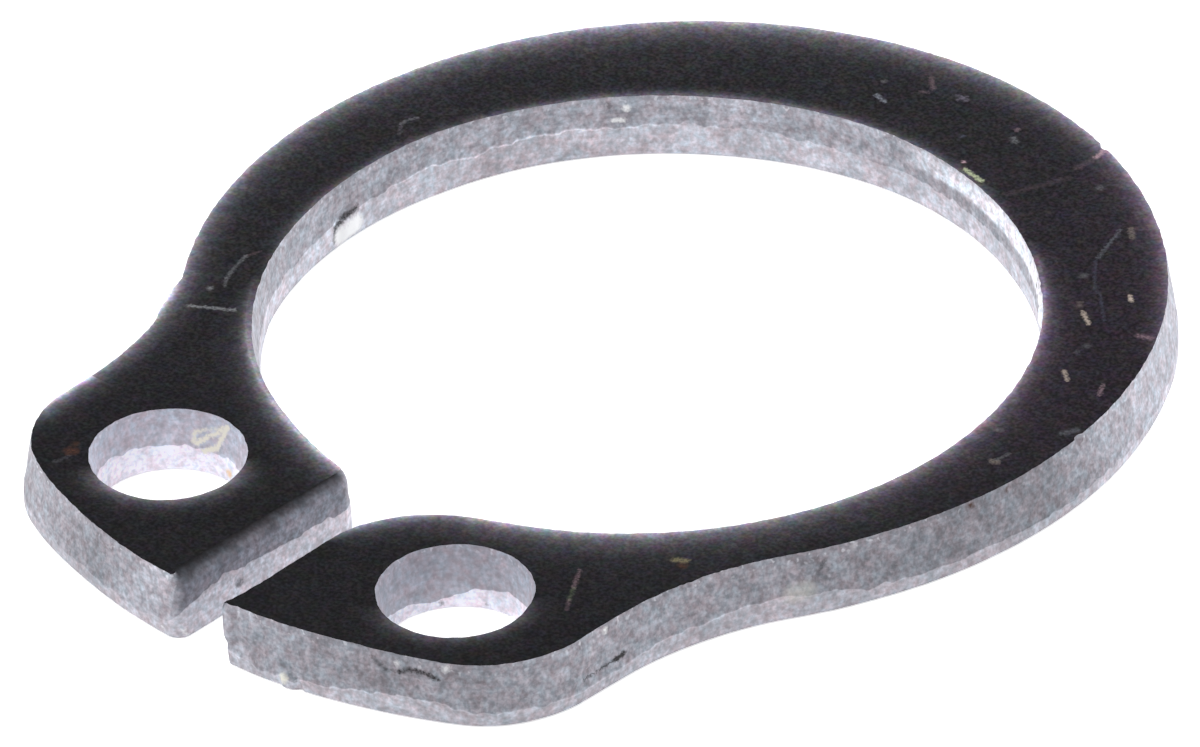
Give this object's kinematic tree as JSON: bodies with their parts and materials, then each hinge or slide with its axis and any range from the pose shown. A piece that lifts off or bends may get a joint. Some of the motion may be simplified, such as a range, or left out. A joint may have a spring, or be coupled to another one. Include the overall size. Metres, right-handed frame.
{
  "type": "circlip retaining ring",
  "caption": "External circlip: a flat tapered spring steel ring with a gap and two outward lugs with plier holes, which snaps into a shaft groove.",
  "frame": {"origin": "centre of the bore, on the bottom face that the ring lies on", "axes": "+Z along the bore, from the rolled-over bottom face to the sharp top face; -Y from the bore's centre to the gap; +X to the lug that is on the right seen from above with the gap towards the viewer"},
  "size_m": [0.013, 0.0156, 0.0009],
  "materials": {
    "phosphated_steel": "black phosphated faces, with paler grey sheared edges"
  },
  "bodies": {
    "root": {"ring": "phosphated_steel"}
  },
  "joints": []
}
